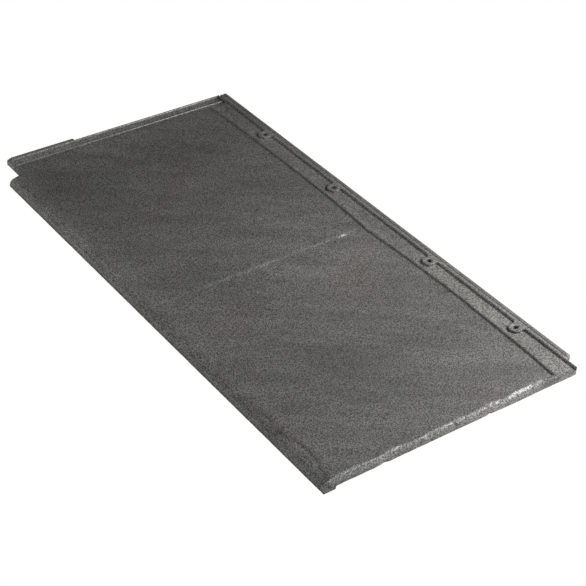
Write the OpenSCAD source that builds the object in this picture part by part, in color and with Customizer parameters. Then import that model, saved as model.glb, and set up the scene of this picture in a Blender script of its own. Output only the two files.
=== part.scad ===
// Double slate roof tile: one moulded panel that looks like two slates laid
// side by side. X runs along the courses, from the side underlap on the left
// to the overlapping edge on the right. Y runs up the roof, from the tail to
// the head, and Z points away from the roof.

/* [Slates] */
// Width of each of the two imitation slates
slate_width = 300; // [220:1:400]
// Depth of the tile from the tail's foot to the head
tile_depth = 302; // [240:1:450]
// Thickness of the slate plate
plate_thickness = 4.5; // [3:0.1:7]
// Height of the plate's underside above the level the tile lies on
underside_height = 5; // [4.2:0.1:9]
// Width of the dressed slope on the last slate's right edge
dressing_width = 9; // [4:0.1:14]
// Drop of the right edge's dressed slope
edge_drop = 2.2; // [1:0.1:2.4]
// How far the last slate's right edge hangs out past its foot
edge_overhang = 3; // [1:0.5:8]
// Rise of the overhang's underside above the plate's underside
overhang_rise = 1.8; // [0.5:0.1:2]
// Width of the dressed slope at the joint between the two slates
joint_dressing = 5; // [2:0.1:9]
// Depth of the joint between the two slates
joint_depth = 1.8; // [0.8:0.1:2.8]
// Width of the flat bottom of that joint
joint_floor = 1.2; // [0.6:0.1:3]

/* [Side underlap] */
// Width of the underlap that the next tile covers
underlap_width = 24; // [20:0.5:40]
// Distance from the tail's foot to the tail end of the underlap
underlap_setback = 15; // [14:0.5:30]
// Length of the wide foot of the outer weather rib, from the tail's foot
wide_rib_end = 99; // [60:1:140]
// Extra width of the outer weather rib along its wide foot
wide_rib_extra = 3.7; // [1:0.1:6]
// Width of each weather rib
rib_width = 2.3; // [1.5:0.1:4]
// Height of the weather ribs above the plate
rib_height = 1.8; // [1:0.1:3]
// Clear width of the water channel between the weather ribs
channel_width = 10; // [6:0.5:14]
// Radius of the underlap's tail corner
underlap_radius = 3; // [2:0.5:8]

/* [Tail nose] */
// Distance from the tile's left edge to the end of the tail nose
nose_start = 35; // [28:0.5:60]
// Width of the nose's foot
foot_width = 13; // [8:0.5:16]
// Distance from the foot to where the dressed nose meets the plate's top
nose_run = 16; // [10:0.5:24]
// Lean of the nose's lower face
nose_lean = 1.5; // [0.5:0.1:3]
// Height of the nose's lower face
nose_face_height = 4; // [2:0.1:5]

/* [Head] */
// Distance from the head to the nail strip's front edge at mid slate
strip_width = 27; // [24:0.5:40]
// Bow of the strip's front edge along each slate
strip_bow = 4; // [1:0.5:8]
// Rise of the nail strip above the slates
strip_rise = 2.3; // [1:0.1:4]
// Width of the raised head ridge
ridge_width = 9; // [6.5:0.5:12]
// Rise of the head ridge and the nail bosses above the nail strip
ridge_rise = 2.7; // [1:0.1:5]
// Distance from the tile's left edge to the ridge's left end
ridge_inset = 9; // [6:0.5:16]
// Gap between the ridge's right end and the next tile's ridge
ridge_gap = 0.5; // [0.2:0.1:3]
// Width of the thin rib that runs on past the ridge's right end
ridge_rib_width = 1.8; // [1:0.1:4]
// Radius of the head's right corner
head_radius = 3; // [0.5:0.5:6]
// Distance from the head to the middle of the ridge's drip groove
drip_setback = 4.6; // [3:0.1:4.6]
// Width of the drip groove
drip_width = 1.2; // [0.6:0.1:2]
// Depth of the drip groove
drip_depth = 0.6; // [0.3:0.1:0.9]
// Width of the rib under the head
head_rib_width = 4; // [3:0.1:6]

/* [Nail bosses] */
// Distance between the two nails of a slate
nail_spacing = 134; // [90:1:180]
// Distance of the nail pair's middle to the right of the slate's middle
nail_offset = 5.5; // [-10:0.5:10]
// Distance from the head to the nails
nail_setback = 15; // [13:0.5:16]
// Diameter of a nail boss
boss_diameter = 14.4; // [11:0.1:18]
// Diameter of a nail hole
nail_hole_diameter = 5.6; // [3:0.1:6]
// Diameter of the sunk seat around a nail hole
seat_diameter = 8.8; // [8:0.1:10.4]
// Depth of that seat
seat_depth = 1.2; // [0.8:0.1:2.4]
// Radius of the webs that run from each boss into the ridge
web_radius = 3; // [1:0.5:5]

/* [Hidden] */

slate_count = 2;
foot_end = underlap_width + slate_count * slate_width;
tile_length = foot_end + edge_overhang;
plate_top = underside_height + plate_thickness;
rib_top = plate_top + rib_height;
strip_top = plate_top + strip_rise;
ridge_top = strip_top + ridge_rise;

outer_rib_x = wide_rib_extra;
inner_rib_x = outer_rib_x + rib_width + channel_width;
ridge_end = foot_end - underlap_width + ridge_inset - ridge_gap;
ridge_front = tile_depth - ridge_width;
ridge_rib_back = ridge_front + ridge_rib_width;
strip_front = tile_depth - strip_width;
strip_front_ends = strip_front - strip_bow;
bow_radius = (pow(slate_width / 2, 2) + pow(strip_bow, 2)) / (2 * strip_bow);
nail_y = tile_depth - nail_setback;
// from a nail's axis to the ridge, and to the middle of each web's curve
nail_to_ridge = ridge_front - nail_y;
web_x = sqrt(pow(boss_diameter / 2 + web_radius, 2) - pow(nail_to_ridge - web_radius, 2));

// how far a cutter passes the surface that it opens
past = 1;
// sides of a small round, and of the long arcs of the nail strip
round_sides = 48;
arc_sides = 360;

// left edge of slate number i
function slate_left(i) = underlap_width + i * slate_width;

// X of nail number n, 0 or 1, on slate number i
function nail_x(i, n) = slate_left(i) + slate_width / 2 + nail_offset + (n - 0.5) * nail_spacing;

// places the children on each nail's axis
module at_nails() {
    for (i = [0 : slate_count - 1], n = [0, 1])
        translate([nail_x(i, n), nail_y, 0]) children();
}

// a straight bar along X with a YZ profile
module bar_along_x(from, to, profile) {
    translate([from, 0, 0]) rotate([90, 0, 90]) linear_extrude(height = to - from) polygon(profile);
}

// a straight bar along Y with an XZ profile
module bar_along_y(from, to, profile) {
    translate([0, to, 0]) rotate([90, 0, 0]) linear_extrude(height = to - from) polygon(profile);
}

// a block between two corners
module block(low, high) {
    translate(low) cube(high - low);
}

// outline of the plate, with the underlap's rounded tail corner
module plate_outline() {
    difference() {
        union() {
            translate([outer_rib_x, underlap_setback])
                square([tile_length - outer_rib_x, ridge_rib_back - underlap_setback]);
            translate([0, underlap_setback + underlap_radius])
                square([outer_rib_x + past, wide_rib_end - underlap_setback - underlap_radius]);
            translate([outer_rib_x, ridge_rib_back - past])
                square([ridge_end - outer_rib_x, ridge_width - ridge_rib_width + past]);
            translate([underlap_radius, underlap_setback + underlap_radius])
                circle(r = underlap_radius, $fn = round_sides);
        }
        difference() {
            translate([-past, underlap_setback - past])
                square([underlap_radius + past, underlap_radius + past]);
            translate([underlap_radius, underlap_setback + underlap_radius])
                circle(r = underlap_radius, $fn = round_sides);
        }
    }
}

// the level plate that carries both slates and the underlap
module plate() {
    translate([0, 0, underside_height]) linear_extrude(height = plate_thickness) plate_outline();
}

// the thick dressed tail edge, whose foot rests on the course below
module tail_nose() {
    bar_along_x(nose_start, tile_length, [
        [0, 0],
        [foot_width, 0],
        [foot_width + past, underside_height],
        [nose_run + past, underside_height],
        [nose_run + past, plate_top],
        [nose_run, plate_top],
        [nose_run * 0.6, plate_top - 0.5],
        [nose_lean + 3, nose_face_height + (plate_top - nose_face_height) * 0.5],
        [nose_lean, nose_face_height],
    ]);
}

// the two weather ribs of the underlap, the outer one with its wide foot and
// the short turn that joins it to the head ridge
module weather_ribs() {
    block([outer_rib_x, underlap_setback + underlap_radius, underside_height],
          [outer_rib_x + rib_width, ridge_front + past, rib_top]);
    block([0, underlap_setback + underlap_radius, underside_height],
          [outer_rib_x + rib_width, wide_rib_end, rib_top]);
    block([inner_rib_x, underlap_setback + underlap_radius, underside_height],
          [inner_rib_x + rib_width, ridge_front - rib_width, rib_top]);
    block([outer_rib_x, ridge_front, underside_height],
          [ridge_inset + past, ridge_rib_back, rib_top]);
}

// outline of the nail strip, whose front edge bows along each slate
module strip_outline() {
    difference() {
        translate([underlap_width, strip_front_ends])
            square([tile_length - underlap_width, ridge_rib_back - strip_front_ends]);
        for (i = [0 : slate_count - 1])
            translate([slate_left(i) + slate_width / 2, strip_front - bow_radius])
                circle(r = bow_radius, $fn = arc_sides);
    }
}

// the raised strip that the nails go through
module nail_strip() {
    translate([0, 0, plate_top - past]) linear_extrude(height = strip_rise + past) strip_outline();
}

// the ridge along the head, its thin rib and its drip groove
module head_ridge() {
    difference() {
        union() {
            block([ridge_inset, ridge_front, underside_height],
                  [ridge_end, tile_depth, ridge_top]);
            block([ridge_inset, ridge_front, underside_height],
                  [tile_length, ridge_rib_back, ridge_top]);
        }
        block([ridge_inset - past, tile_depth - drip_setback - drip_width / 2, ridge_top - drip_depth],
              [tile_length + past, tile_depth - drip_setback + drip_width / 2, ridge_top + past]);
    }
}

// the rib under the head that keeps the tile level
module head_rib() {
    block([ridge_inset, tile_depth - head_rib_width, 0],
          [ridge_end, tile_depth, underside_height + past]);
}

// the round bosses, with a post down to the level the tile lies on
module nail_bosses() {
    at_nails() cylinder(d = boss_diameter, h = ridge_top, $fn = round_sides);
}

// the webs that run from each boss into the ridge
module boss_webs() {
    at_nails() translate([0, 0, underside_height]) linear_extrude(height = ridge_top - underside_height) difference() {
        translate([-web_x, nail_to_ridge - web_radius]) square([2 * web_x, web_radius + past]);
        for (side = [-1, 1])
            translate([side * web_x, nail_to_ridge - web_radius]) circle(r = web_radius, $fn = round_sides);
    }
}

// the nail holes with their sunk seats
module nail_holes() {
    at_nails() {
        translate([0, 0, -past]) cylinder(d = nail_hole_diameter, h = ridge_top + 2 * past, $fn = round_sides);
        translate([0, 0, ridge_top - seat_depth])
            cylinder(d1 = nail_hole_diameter, d2 = seat_diameter, h = seat_depth + 0.001, $fn = round_sides);
    }
}

// the joint that parts the two slates, dressed on its left side
module joint_cut() {
    for (i = [1 : slate_count - 1]) {
        x = slate_left(i);
        floor_z = plate_top - joint_depth;
        bar_along_y(-past, strip_front_ends, [
            [x - joint_dressing, plate_top],
            [x - joint_floor, floor_z],
            [x, floor_z],
            [x + joint_depth / 4, plate_top],
            [x + joint_depth / 4, plate_top + past],
            [x - joint_dressing, plate_top + past],
        ]);
    }
}

// the dressed slope along the right edge of the last slate
module edge_cut() {
    bar_along_y(-past, strip_front_ends, [
        [tile_length - dressing_width, plate_top],
        [tile_length, plate_top - edge_drop],
        [tile_length + past, plate_top - edge_drop],
        [tile_length + past, plate_top + past],
        [tile_length - dressing_width, plate_top + past],
    ]);
}

// the space under the overhanging right edge
module overhang_cut() {
    block([foot_end, -past, -past],
          [tile_length + past, tile_depth + past, underside_height + overhang_rise]);
}

// what the rounded corner at the head's right end leaves out
module corner_cut() {
    corner = [tile_length - head_radius, ridge_rib_back - head_radius];
    difference() {
        block([corner.x, corner.y, 0], [tile_length + past, ridge_rib_back + past, ridge_top + past]);
        translate([corner.x, corner.y, -past])
            cylinder(r = head_radius, h = ridge_top + 3 * past, $fn = round_sides);
    }
}

// the whole tile, one moulded piece, centred on its own footprint
module slate_tile() {
    color("#4b4c4f") translate([-tile_length / 2, -tile_depth / 2, 0])
        difference() {
            union() {
                plate();
                tail_nose();
                weather_ribs();
                nail_strip();
                head_ridge();
                head_rib();
                nail_bosses();
                boss_webs();
            }
            nail_holes();
            joint_cut();
            edge_cut();
            overhang_cut();
            corner_cut();
        }
}

slate_tile();
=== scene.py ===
"""Looks of a double slate roof tile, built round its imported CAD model.

The tile is one moulded panel that imitates two riven slates laid side by side. The plate is a
lofted lattice with the slates' relief in its mesh, and the weather ribs, the head ridge and the
nail bosses are fused with it into one closed shell. Sizes are in millimetres from the tile's own
tail-left corner at floor level, and become metres in the frame as each mesh is made.
"""

import logging
import math
from dataclasses import dataclass, field
from enum import Enum
from typing import Any

import bmesh
import bpy
import numpy as np
from mathutils import Matrix, Vector


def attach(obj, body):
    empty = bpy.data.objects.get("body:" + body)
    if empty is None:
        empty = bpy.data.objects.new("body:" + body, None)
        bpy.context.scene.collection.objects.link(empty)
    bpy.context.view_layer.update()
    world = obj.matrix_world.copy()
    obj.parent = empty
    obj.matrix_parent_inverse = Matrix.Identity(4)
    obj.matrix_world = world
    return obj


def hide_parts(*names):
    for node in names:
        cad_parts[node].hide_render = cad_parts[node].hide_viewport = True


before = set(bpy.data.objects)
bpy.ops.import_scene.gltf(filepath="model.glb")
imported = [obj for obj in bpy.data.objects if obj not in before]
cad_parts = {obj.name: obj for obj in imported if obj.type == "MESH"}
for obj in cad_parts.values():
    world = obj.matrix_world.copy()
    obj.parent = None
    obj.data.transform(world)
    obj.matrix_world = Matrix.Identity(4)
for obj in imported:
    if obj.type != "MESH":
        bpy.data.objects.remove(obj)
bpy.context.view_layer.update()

LOG = logging.getLogger("slate_tile")
MM = 0.001
# points nearer than this, in metres, are one point that a cut left twice
WELD_REACH = 1e-6
NODE = "slate_tile"
BODY = "root"
Array = np.ndarray


# ---------------------------------------------------------------- small helpers


def smooth(value: Array, low: float, high: float) -> Array:
    """Runs smoothly from 0 at low to 1 at high.

    Args:
        value: Numbers to place on the ramp.
        low: Where the ramp starts; it may be the larger one.
        high: Where the ramp ends.

    Returns:
        The share of the ramp passed, from 0 to 1.
    """
    share = np.clip((np.asarray(value, dtype=float) - low) / (high - low), 0.0, 1.0)
    return share * share * (3.0 - 2.0 * share)


@dataclass(frozen=True)
class Wander:
    """Smooth seeded unevenness over a plane, the same on every run."""

    seed: int
    cells: int = 256

    def table(self) -> Array:
        """Random values on the lattice that the unevenness runs through."""
        return np.random.default_rng(self.seed).uniform(-1.0, 1.0, (self.cells, self.cells))

    def at(self, across: Array, along: Array, wave: float, stretch: float = 1.0) -> Array:
        """Unevenness at points of the plane.

        Args:
            across: X of each point.
            along: Y of each point.
            wave: Distance between neighbouring lattice points along X.
            stretch: How many times longer the waves are along Y.

        Returns:
            Values from -1 to 1.
        """
        table = self.table()
        u = np.asarray(across, dtype=float) / wave + 31.7
        v = np.asarray(along, dtype=float) / (wave * stretch) + 17.3
        u, v = np.broadcast_arrays(u, v)
        iu, iv = np.floor(u).astype(int), np.floor(v).astype(int)
        fu, fv = u - iu, v - iv
        fu, fv = fu * fu * (3 - 2 * fu), fv * fv * (3 - 2 * fv)
        a = table[iu % self.cells, iv % self.cells]
        b = table[(iu + 1) % self.cells, iv % self.cells]
        c = table[iu % self.cells, (iv + 1) % self.cells]
        d = table[(iu + 1) % self.cells, (iv + 1) % self.cells]
        return (a * (1 - fu) + b * fu) * (1 - fv) + (c * (1 - fu) + d * fu) * fv


class TreeKit:
    """Builds a node tree with named inputs, a node at a time."""

    def __init__(self, tree: Any) -> None:
        """Starts on a tree that exists already."""
        self.tree = tree

    @classmethod
    def group(cls: type["TreeKit"], name: str, kind: str) -> "TreeKit":
        """Makes an empty node group.

        Args:
            name: Name of the group.
            kind: GeometryNodeTree or ShaderNodeTree.
        """
        return cls(bpy.data.node_groups.new(name, kind))

    def socket(self, name: str, kind: str, into: bool = True, value: Any = None) -> None:
        """Adds a named input or output to the group.

        Args:
            name: Name of the socket.
            kind: Socket type, such as NodeSocketFloat.
            into: True for an input.
            value: Default value of an input.
        """
        made = self.tree.interface.new_socket(
            name=name, in_out="INPUT" if into else "OUTPUT", socket_type=kind
        )
        if value is not None:
            made.default_value = value

    def add(self, kind: str, inputs: dict[Any, Any] | None = None, **props: Any) -> Any:
        """Adds a node, sets its properties and fills its inputs.

        Args:
            kind: Node type.
            inputs: Value or socket for each input, by name or position.
            **props: Properties of the node.

        Returns:
            The node.
        """
        node = self.tree.nodes.new(kind)
        for key, value in props.items():
            setattr(node, key, value)
        for key, value in (inputs or {}).items():
            self.put(node.inputs[key], value)
        return node

    def put(self, socket: Any, value: Any) -> None:
        """Links a socket into an input, or sets the input's own value."""
        if isinstance(value, bpy.types.NodeSocket):
            self.tree.links.new(value, socket)
        else:
            socket.default_value = value

    def math(self, operation: str, first: Any, second: Any = 0.0, clamp: bool = False) -> Any:
        """Adds a Math node and gives its output.

        Args:
            operation: Operation of the node.
            first: First value or socket.
            second: Second value or socket.
            clamp: True to keep the result from 0 to 1.

        Returns:
            The output socket.
        """
        return self.add(
            "ShaderNodeMath", {0: first, 1: second}, operation=operation, use_clamp=clamp
        ).outputs[0]

    def ramp(
        self, value: Any, low: float, high: float, start: float = 0.0, end: float = 1.0
    ) -> Any:
        """Adds a smooth Map Range node and gives its output.

        Args:
            value: Value or socket to map.
            low: Input where the ramp starts.
            high: Input where the ramp ends.
            start: Output at low.
            end: Output at high.

        Returns:
            The output socket.
        """
        return self.add(
            "ShaderNodeMapRange",
            {"Value": value, "From Min": low, "From Max": high, "To Min": start, "To Max": end},
            interpolation_type="SMOOTHSTEP",
        ).outputs["Result"]

    def mix(self, share: Any, first: Any, second: Any, blend: str = "MIX") -> Any:
        """Adds a colour Mix node and gives its output.

        Args:
            share: Share of the second colour.
            first: First colour or socket.
            second: Second colour or socket.
            blend: Blend type.

        Returns:
            The output socket.
        """
        node = self.add("ShaderNodeMix", data_type="RGBA", blend_type=blend)
        for position, value in ((0, share), (6, first), (7, second)):
            self.put(node.inputs[position], value)
        return node.outputs[2]

    def noise(self, place: Any, scale: float, detail: float, rough: float, seed: float) -> Any:
        """Adds a seeded noise texture and gives its value output.

        Args:
            place: Vector socket that it reads.
            scale: Waves per metre.
            detail: Octaves past the first.
            rough: Share that each octave keeps.
            seed: Fourth coordinate, which picks the pattern.

        Returns:
            The output socket, from 0 to 1.
        """
        return self.add(
            "ShaderNodeTexNoise",
            {"Vector": place, "W": seed, "Scale": scale, "Detail": detail, "Roughness": rough},
            noise_dimensions="4D",
        ).outputs[0]


def evaluated(name: str, mesh: Any, kit: TreeKit, values: dict[str, Any]) -> Any:
    """Runs a Geometry Nodes tree on a mesh and keeps the result as a plain mesh.

    Args:
        name: Name of the new mesh.
        mesh: Mesh that the tree starts from.
        kit: Kit that holds the tree.
        values: Value of each of the tree's inputs, by name.

    Returns:
        The plain mesh.
    """
    holder = bpy.data.objects.new(name + "_holder", mesh)
    bpy.context.collection.objects.link(holder)
    modifier = holder.modifiers.new(name, "NODES")
    modifier.node_group = kit.tree
    for item in kit.tree.interface.items_tree:
        if item.item_type == "SOCKET" and item.in_out == "INPUT" and item.name in values:
            modifier[item.identifier] = values[item.name]
    graph = bpy.context.evaluated_depsgraph_get()
    made = bpy.data.meshes.new_from_object(holder.evaluated_get(graph))
    made.name = name
    bpy.data.objects.remove(holder)
    return made


def new_mesh(name: str, points: Array, faces: list[Any]) -> Any:
    """Makes a mesh in the frame from points in the tile's own millimetres.

    Args:
        name: Name of the mesh.
        points: One row of X, Y and Z for each point.
        faces: Point numbers of each face.

    Returns:
        The mesh.
    """
    moved = (np.asarray(points, dtype=float) - np.array(SIZES.origin())) * MM
    mesh = bpy.data.meshes.new(name)
    mesh.from_pydata([tuple(row) for row in moved], [], faces)
    mesh.validate()
    return mesh


def outward(mesh: Any) -> Any:
    """Turns the faces of a closed mesh outward.

    Args:
        mesh: The mesh to turn.

    Returns:
        The same mesh.
    """
    shell = bmesh.new()
    shell.from_mesh(mesh)
    bmesh.ops.recalc_face_normals(shell, faces=shell.faces)
    shell.to_mesh(mesh)
    shell.free()
    return mesh


def welded(mesh: Any) -> Any:
    """Merges the points that a cut leaves almost on top of each other.

    Args:
        mesh: The closed mesh to clean.

    Returns:
        The same mesh.
    """
    shell = bmesh.new()
    shell.from_mesh(mesh)
    bmesh.ops.remove_doubles(shell, verts=shell.verts, dist=WELD_REACH)
    bmesh.ops.dissolve_degenerate(shell, edges=shell.edges, dist=WELD_REACH)
    open_edges = sum(not edge.is_manifold for edge in shell.edges)
    if open_edges:
        LOG.warning("%s: %d edges are not closed", mesh.name, open_edges)
    shell.to_mesh(mesh)
    shell.free()
    return mesh


def prism(name: str, outline: Array, low: float, high: float) -> Any:
    """Makes an upright closed prism.

    Args:
        name: Name of the mesh.
        outline: One row of X and Y for each corner, in order round the outline.
        low: Height of its foot.
        high: Height of its top.

    Returns:
        The mesh.
    """
    size = len(outline)
    points = np.concatenate([np.column_stack([outline, np.full(size, z)]) for z in (low, high)])
    faces: list[Any] = [list(range(size)), list(range(size, 2 * size))]
    faces += [[n, (n + 1) % size, size + (n + 1) % size, size + n] for n in range(size)]
    return outward(new_mesh(name, points, faces))


# ---------------------------------------------------------------- sizes


@dataclass(frozen=True)
class TileSizes:
    """Sizes that more than one part of the tile works to, in millimetres."""

    length: float = 627.0
    foot_end: float = 624.0
    depth: float = 302.0
    slate_width: float = 300.0
    underlap: float = 24.0
    underside: float = 5.0
    plate_top: float = 9.5
    strip_top: float = 11.8
    ridge_top: float = 14.5
    nose_start: float = 35.0
    flange_tail: float = 15.0
    strip_front: float = 275.0
    ridge_front: float = 293.0
    plate_back: float = 294.8
    ridge_left: float = 9.0
    ridge_right: float = 608.5
    nail_y: float = 287.0
    nail_offset: float = 5.5
    nail_spacing: float = 134.0
    joint_x: float = 324.0
    edge_start: float = 618.0
    overhang_underside: float = 6.8
    head_radius: float = 3.0

    def origin(self) -> tuple[float, float, float]:
        """Where the frame's origin lies in the tile's own millimetres."""
        return (self.length / 2, self.depth / 2, 0.0)

    def first_nail(self) -> float:
        """X of the first nail of the left slate."""
        return self.underlap + self.slate_width / 2 + self.nail_offset - self.nail_spacing / 2


SIZES = TileSizes()


# ---------------------------------------------------------------- the riven plate


@dataclass
class SlatePlate:
    """The plate with both slates, the underlap and the dressed tail nose."""

    sizes: TileSizes = SIZES
    column_pitch: float = 1.56
    row_pitch: float = 1.72
    bows: tuple[float, float] = (3.5, 4.8)
    joint_depth: float = 1.8
    edge_drop: float = 2.2
    wide_foot: float = 3.7
    wide_foot_end: float = 99.0
    corner_radius: float = 3.0
    nose: tuple[tuple[float, float], ...] = (
        (0.0, 0.0), (0.3, 1.6), (0.75, 3.2), (1.2, 4.6), (2.0, 5.9), (3.3, 7.05), (5.0, 7.85),
        (7.2, 8.55), (9.4, 9.0), (11.4, 9.25), (13.2, 9.4), (14.6, 9.47), (16.0, 9.5),
    )
    flake_reach: tuple[tuple[float, float], ...] = (
        (0.0, 6.0), (120.0, 9.0), (260.0, 5.0), (400.0, 8.0),
        (480.0, 6.0), (505.0, 8.0), (521.0, 11.0),
        (541.0, 9.0), (555.0, 11.0), (569.0, 15.4), (584.0, 16.0),
        (598.0, 13.6), (611.0, 8.8), (627.0, 4.0),
    )
    wave: Wander = Wander(11)
    chip: Wander = Wander(23)
    fine: Wander = Wander(37)

    def columns(self) -> Array:
        """X of each line of points from the left edge to the right one."""
        s = self.sizes
        left = [0.0, 3.0, 6.0, 8.5, 11.0, 13.5, 16.0, 18.3, 19.6, 21.0, 22.4, 23.5, 24.3]
        nose = [34.7, 35.0, 35.5, 36.3, 37.5]
        joint = s.joint_x + np.array(
            [-6.6, -5.6, -5.0, -4.1, -3.1, -2.1, -1.2, -0.6, 0.0, 0.25, 0.6, 1.5]
        )
        right = s.length - np.array(
            [14.0, 12.6, 11.3, 10.1, 9.0, 8.3, 7.6, 6.8, 5.9, 4.9, 3.9, 2.8, 1.8, 1.0, 0.4, 0.0]
        )
        parts = [left, self.between(24.3, 34.7), nose, self.between(37.5, joint[0]), joint,
                 self.between(joint[-1], right[0]), right]
        return np.concatenate([np.asarray(p, dtype=float) for p in parts])

    def between(self, low: float, high: float) -> Array:
        """Evenly spaced values between two columns, without the two."""
        count = max(2, round((high - low) / self.column_pitch))
        return np.linspace(low, high, count + 1)[1:-1]

    def strip_line(self, x: Array) -> Array:
        """Y of the nail strip's front edge, bowed along each slate.

        Args:
            x: X of each point.

        Returns:
            Y of the edge there.
        """
        s = self.sizes
        line = np.full_like(x, s.strip_front - 4.0)
        for number, bow in enumerate(self.bows):
            middle = s.underlap + (number + 0.5) * s.slate_width
            share = np.clip((x - middle) / (s.slate_width / 2), -1.0, 1.0)
            inside = np.abs(x - middle) <= s.slate_width / 2 + 1e-6
            bowed = s.strip_front + (bow - 4.0) * 0.3 - bow * share**2
            line = np.where(inside, bowed, line)
        uneven = 0.35 * self.wave.at(x, 3.0, 26.0) + 0.18 * self.chip.at(x, 9.0, 7.0)
        return line + uneven * smooth(x, 24.0, 40.0)

    def left_edge(self, y: Array) -> Array:
        """X of the plate's left edge, with the wide foot and the round tail corner."""
        s, r = self.sizes, self.corner_radius
        edge = self.wide_foot * smooth(y, self.wide_foot_end - 0.6, self.wide_foot_end + 0.3)
        into = np.clip(s.flange_tail + r - y, 0.0, r)
        return edge + r - np.sqrt(r * r - into * into)

    def inner_edge(self, y: Array) -> Array:
        """X where the right edge's dressing breaks off from the slate's face."""
        return (
            self.sizes.edge_start - 0.6
            + 1.2 * self.wave.at(y, 51.0, 21.0)
            + 1.0 * self.chip.at(y, 77.0, 6.5)
            + 0.45 * self.fine.at(y, 5.0, 2.6)
        )

    def outer_edge(self, y: Array) -> Array:
        """X of the right edge's outline, slightly uneven as dressed slate is."""
        s = self.sizes
        uneven = 0.25 + 0.25 * self.wave.at(y, 91.0, 30.0) + 0.25 * self.chip.at(y, 40.0, 5.0)
        nick = 1.5 * np.exp(-(((y - 186.0) / 1.8) ** 2)) + 0.9 * np.exp(-(((y - 64.0) / 3.0) ** 2))
        strip = smooth(y, s.strip_front - 5.0, s.strip_front - 3.0)
        return s.length - 0.02 - (np.clip(uneven, 0.0, 1.0) + nick) * (1.0 - strip)

    def flake_line(self, x: Array) -> Array:
        """Y that the flaked part of the tail reaches, widest near the right corner."""
        reach = np.interp(x, *zip(*self.flake_reach))
        return reach + 0.7 * self.chip.at(x, 61.0, 6.0) + 0.5 * self.fine.at(x, 12.0, 2.4)

    def lattice(self) -> tuple[Array, Array, Array, Array]:
        """Places every point of the sheet that wraps the plate from foot to back.

        Returns:
            X, Y, Z and the relief's share, one row of points for each line along X.
        """
        s = self.sizes
        base = self.columns()
        count = base.size
        tail = smooth(base, s.nose_start - 0.28, s.nose_start)
        rows_y: list[Array] = []
        rows_z: list[Array] = []
        relief: list[float] = []

        def row(y: Any, z: Any, share: float = 0.0) -> None:
            """Adds a line of points along X."""
            rows_y.append(np.broadcast_to(np.asarray(y, dtype=float), (count,)).copy())
            rows_z.append(np.broadcast_to(np.asarray(z, dtype=float), (count,)).copy())
            relief.append(share)

        rough = np.clip(
            0.06 + 0.14 * self.chip.at(base, 0.0, 5.5) + 0.1 * self.fine.at(
                base, 0.0, 2.2
            ), 0.0, 1.0
        )
        back = s.flange_tail
        row(back + 0.2 + (14.0 - back - 0.2) * tail, s.underside)
        row(back + 0.1 + (13.0 - back - 0.1) * tail, s.underside * (1.0 - tail))
        steps = len(self.nose) - 1
        end_round = 1.0 - smooth(base, s.nose_start, s.nose_start + 2.0)
        for number, (ny, nz) in enumerate(self.nose):
            share = number / steps
            fy = back - 0.12 * math.sin(math.pi * share) + 0.55 * max(0.0, share - 0.7) / 0.3
            fz = s.underside + (s.plate_top - s.underside) * math.sin(
                0.5 * math.pi * min(1.0, share * 1.15)
            )
            lifted = smooth(share, 0.0, 0.3)
            y = ny + rough * (1.0 if number == 0 else 1.4) * float(share < 0.95)
            z = nz - end_round * 1.1 * lifted * (1.0 - smooth(share, 0.75, 1.0))
            y = y + end_round * 0.7 * (1.0 - share)
            z = z + lifted * 0.35 * self.chip.at(base, 13.0 * share, 4.5) * (1.0 - 0.6 * share)
            row(
                fy + (y - fy) * tail, fz + (
                    np.maximum(z, 0.0) - fz
                ) * tail if number else s.underside * (1.0 - tail), 0.35 * share
            )
        row_number_top = len(rows_y) - 1

        front = self.strip_line(base)
        near = np.arange(1.0, 7.5, 1.05)
        near_share = near / (s.strip_front - 4.0 - 16.0)
        far_count = round((s.strip_front - 4.0 - 16.0 - near[-1]) / self.row_pitch)
        shares = np.concatenate([near_share, np.linspace(near_share[-1], 1.0, far_count + 1)[1:]])
        foot = [(y - 16.0) / (s.strip_front - 4.0 - 16.0) for y in (
            self.wide_foot_end - 0.6, self.wide_foot_end + 0.35
        )]
        shares = np.array(
            sorted([t for t in shares if min(abs(t - f) for f in foot) > 0.0015] + foot)
        )
        for share in shares:
            row(16.0 + share * (front - 16.0), s.plate_top, 1.0 if share < 0.995 else 0.5)
        self.field_rows = (row_number_top, len(rows_y) - 1)

        rise = (s.strip_top - s.plate_top) * smooth(base, s.underlap - 0.6, s.underlap + 0.4)
        for ahead, lift in ((0.12, 0.12), (0.4, 0.62), (0.65, 0.9), (1.1, 1.0)):
            row(front + ahead, s.plate_top + rise * lift)
        for share in np.linspace(0.0, 1.0, 8)[1:]:
            row(front + 1.1 + share * (s.ridge_front - 0.6 - front - 1.1), s.plate_top + rise, 0.12)
        for y in (293.4, 294.1, 294.55, s.plate_back):
            row(y, s.plate_top + rise - (0.12 if y == s.plate_back else 0.0))
        row(s.plate_back, s.underside)

        y = np.array(rows_y)
        z = np.array(rows_z)
        x, z, share = self.shaped(np.broadcast_to(base, y.shape).copy(), y, z, np.array(relief))
        return x, y, z, share

    def shaped(self, base: Array, y: Array, z: Array, relief: Array) -> tuple[Array, Array, Array]:
        """Cuts the joint, the dressed right edge and the tail's flakes into the lattice.

        Args:
            base: X of each point on the straight lattice.
            y: Y of each point.
            z: Height of each point.
            relief: Share of the riven relief for each line along X.

        Returns:
            X, Z and the relief's share of each point.
        """
        s = self.sizes
        inside = y <= self.strip_line(base) + 1e-6
        face = inside & (z > s.underside + 0.2)
        # the underlap's outline
        edge = self.left_edge(np.maximum(y, s.flange_tail))
        x = np.where(base < 6.0, edge + base / 6.0 * (6.0 - edge), base)
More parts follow.
